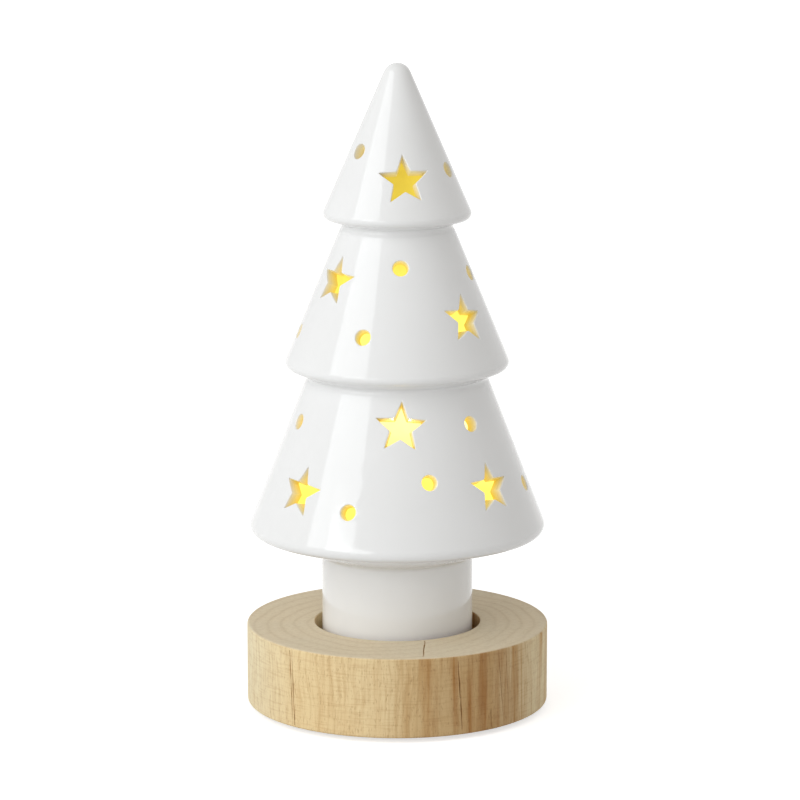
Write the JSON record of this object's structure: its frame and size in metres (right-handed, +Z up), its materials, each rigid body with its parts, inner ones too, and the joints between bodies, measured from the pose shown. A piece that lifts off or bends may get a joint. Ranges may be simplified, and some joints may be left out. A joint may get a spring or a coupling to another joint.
{
  "type": "lit ceramic christmas tree",
  "caption": "Hollow white ceramic Christmas tree pierced with stars and dots, standing loose in a round wooden base over a battery tealight.",
  "frame": {"origin": "centre of the base at table level", "axes": "+Z up along the tree's axis, the front of the tree faces -Y"},
  "size_m": [0.1, 0.1, 0.2137],
  "materials": {
    "white_glaze": "high-gloss white glaze",
    "pale_wood": "sanded, unvarnished",
    "grey_felt": "pressed felt",
    "ivory_plastic": "satin, wax-like",
    "amber_lens": "frosted, lit",
    "led_resin": "clear resin, lit",
    "tinned_wire": "tinned",
    "cell_steel": "brushed",
    "spring_strip": "nickel-plated spring strip",
    "black_plastic": "moulded"
  },
  "bodies": {
    "base": {"wood_base": "pale_wood", "felt_pad_1": "grey_felt", "felt_pad_2": "grey_felt", "felt_pad_3": "grey_felt", "felt_pad_4": "grey_felt"},
    "tree": {"tree_trunk": "white_glaze", "lower_tier": "white_glaze", "middle_tier": "white_glaze", "top_tier": "white_glaze"},
    "tealight": {"tealight_cup": "ivory_plastic", "flame_lens": "amber_lens", "led_bulb": "led_resin", "led_leads": "tinned_wire", "base_plate": "ivory_plastic", "coin_cell": "cell_steel", "negative_contact": "spring_strip", "positive_contact": "spring_strip"},
    "door": {"battery_door": "ivory_plastic"},
    "switch": {"switch_knob": "black_plastic"}
  },
  "joints": [
    {"name": "tree_lift", "type": "slide", "parent": "base", "child": "tree", "axis": [0, 0, 1], "range_m": [0, 0.06]},
    {"name": "tealight_lift", "type": "slide", "parent": "base", "child": "tealight", "axis": [0, 0, 1], "range_m": [0, 0.012]},
    {"name": "door_twist", "type": "hinge", "parent": "tealight", "child": "door", "pos_m": [-0.0035, 0, 0.0216], "axis": [0, 0, -1], "range_deg": [0, 40]},
    {"name": "switch_slide", "type": "slide", "parent": "tealight", "child": "switch", "axis": [0, 1, 0], "range_m": [-0.003, 0]}
  ]
}
